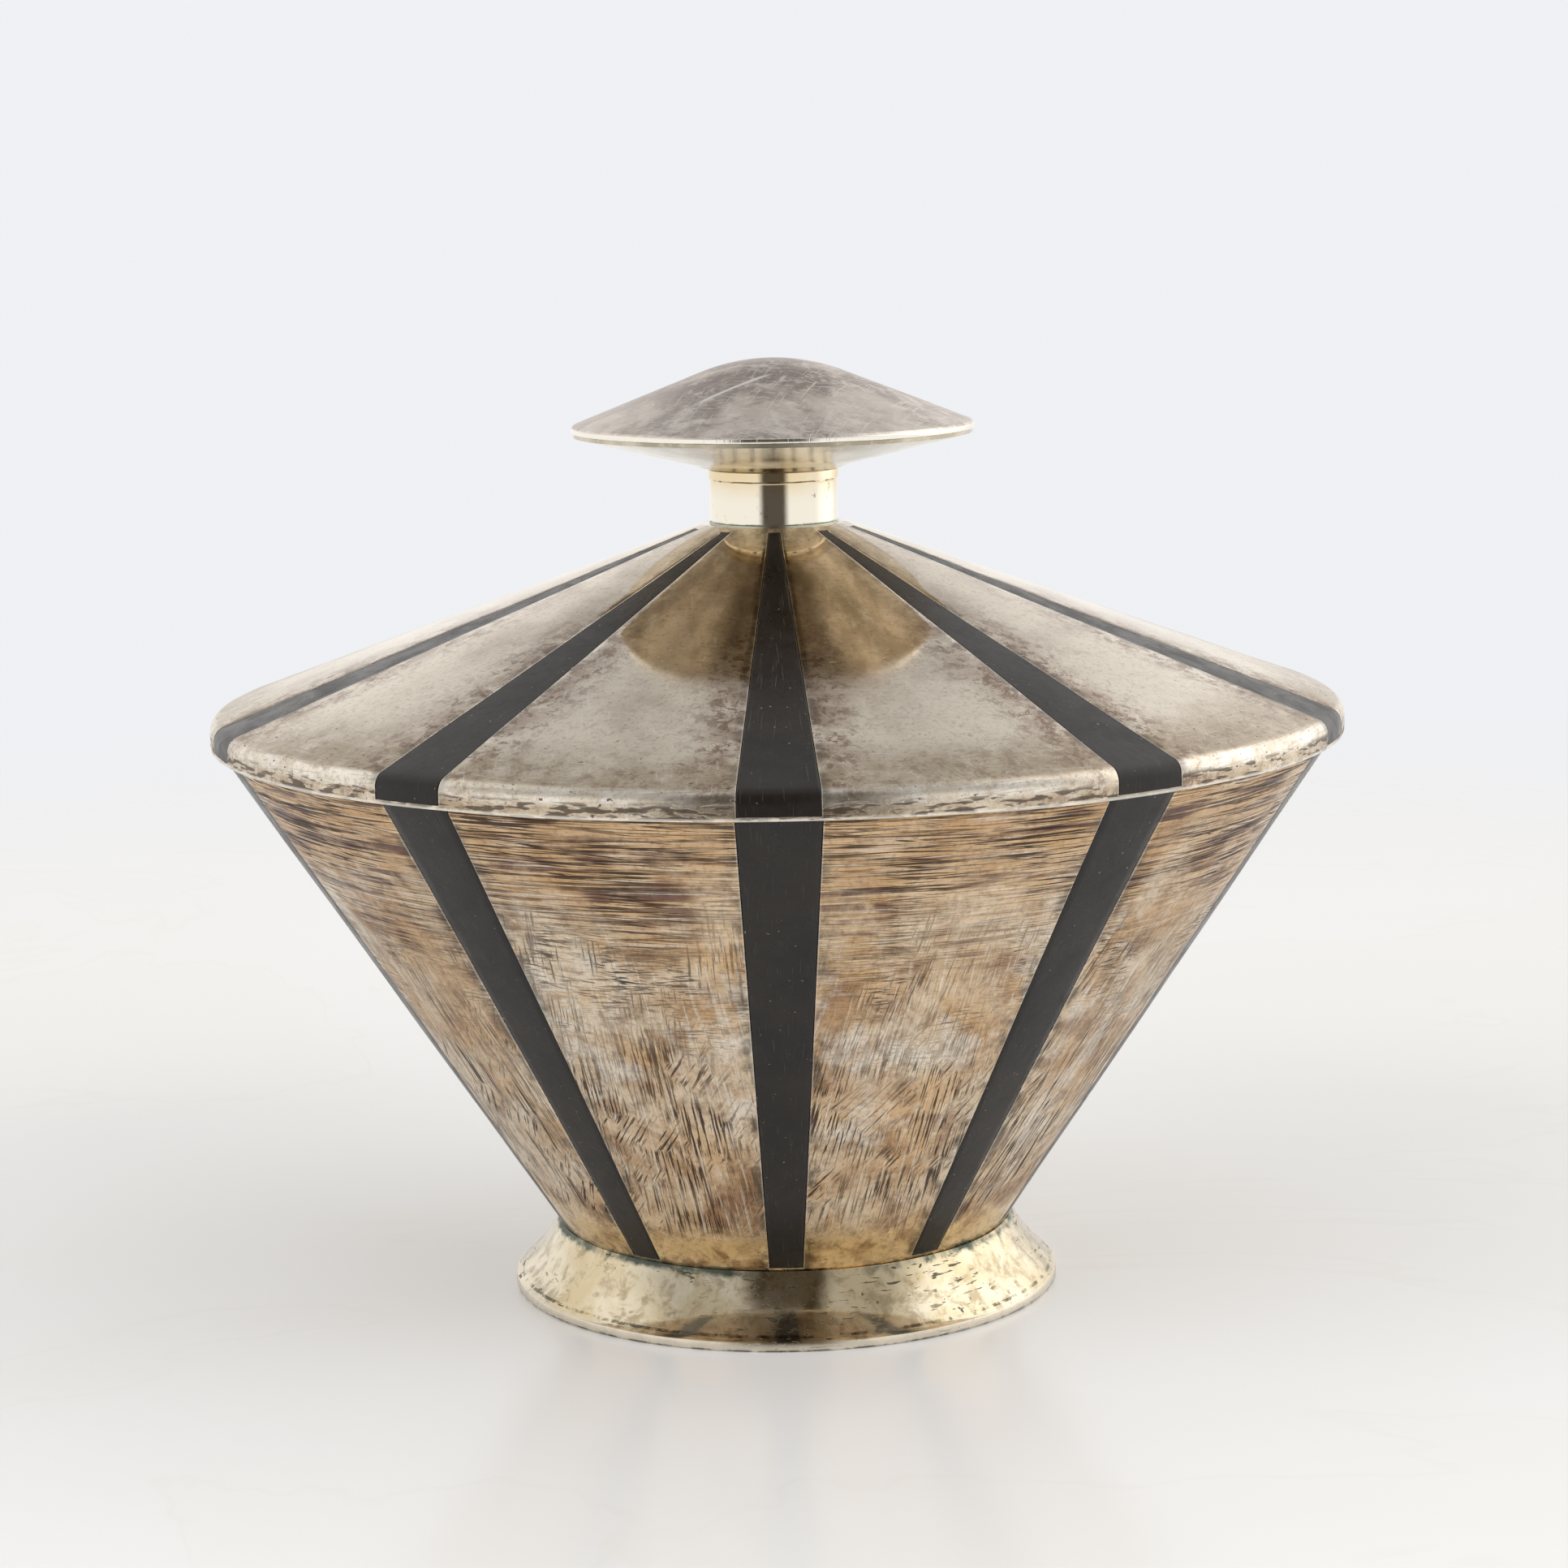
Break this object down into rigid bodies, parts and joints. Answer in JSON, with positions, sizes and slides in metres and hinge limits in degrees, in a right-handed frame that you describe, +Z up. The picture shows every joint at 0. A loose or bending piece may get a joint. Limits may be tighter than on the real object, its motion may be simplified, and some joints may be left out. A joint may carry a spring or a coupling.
{
  "type": "lidded sugar bowl",
  "caption": "Round conical sugar bowl in silver plate with black enamel stripes, a flared foot and a lift-off conical lid with a disc knob on a short stem.",
  "frame": {"origin": "middle of the circle that the foot stands on", "axes": "+Z up along the bowl's axis; -Y is the front, where one stripe of the bowl and one of the lid line up"},
  "size_m": [0.12, 0.12, 0.0994],
  "materials": {
    "bowl_silver": "brushed tarnished silver plate, roughness about 0.45",
    "lid_silver": "worn silver plate, roughness about 0.35",
    "foot_silver": "polished silver plate with a golden tarnish, roughness about 0.2",
    "knob_silver": "satin silver plate, grey-brown tarnish, roughness about 0.45",
    "stem_silver": "bright silver plate, roughness about 0.15",
    "black_enamel": "satin black enamel with fine scratches",
    "hardware_brass": "plain brass"
  },
  "bodies": {
    "bowl": {"foot_ring": "foot_silver", "bowl_shell": "bowl_silver", "bowl_stripe_01": "black_enamel", "bowl_stripe_02": "black_enamel", "bowl_stripe_03": "black_enamel", "bowl_stripe_04": "black_enamel", "bowl_stripe_05": "black_enamel", "bowl_stripe_06": "black_enamel", "bowl_stripe_07": "black_enamel", "bowl_stripe_08": "black_enamel", "bowl_stripe_09": "black_enamel", "bowl_stripe_10": "black_enamel"},
    "lid": {"lid_shell": "lid_silver", "lid_flange": "lid_silver", "stem_tube": "stem_silver", "knob_underside": "stem_silver", "knob_top": "knob_silver", "knob_stud": "hardware_brass", "knob_washer": "hardware_brass", "knob_nut": "hardware_brass", "lid_stripe_01": "black_enamel", "lid_stripe_02": "black_enamel", "lid_stripe_03": "black_enamel", "lid_stripe_04": "black_enamel", "lid_stripe_05": "black_enamel", "lid_stripe_06": "black_enamel", "lid_stripe_07": "black_enamel", "lid_stripe_08": "black_enamel", "lid_stripe_09": "black_enamel", "lid_stripe_10": "black_enamel"}
  },
  "joints": [
    {"name": "lid_lift", "type": "slide", "parent": "bowl", "child": "lid", "axis": [0, 0, 1], "range_m": [0, 0.08]}
  ]
}
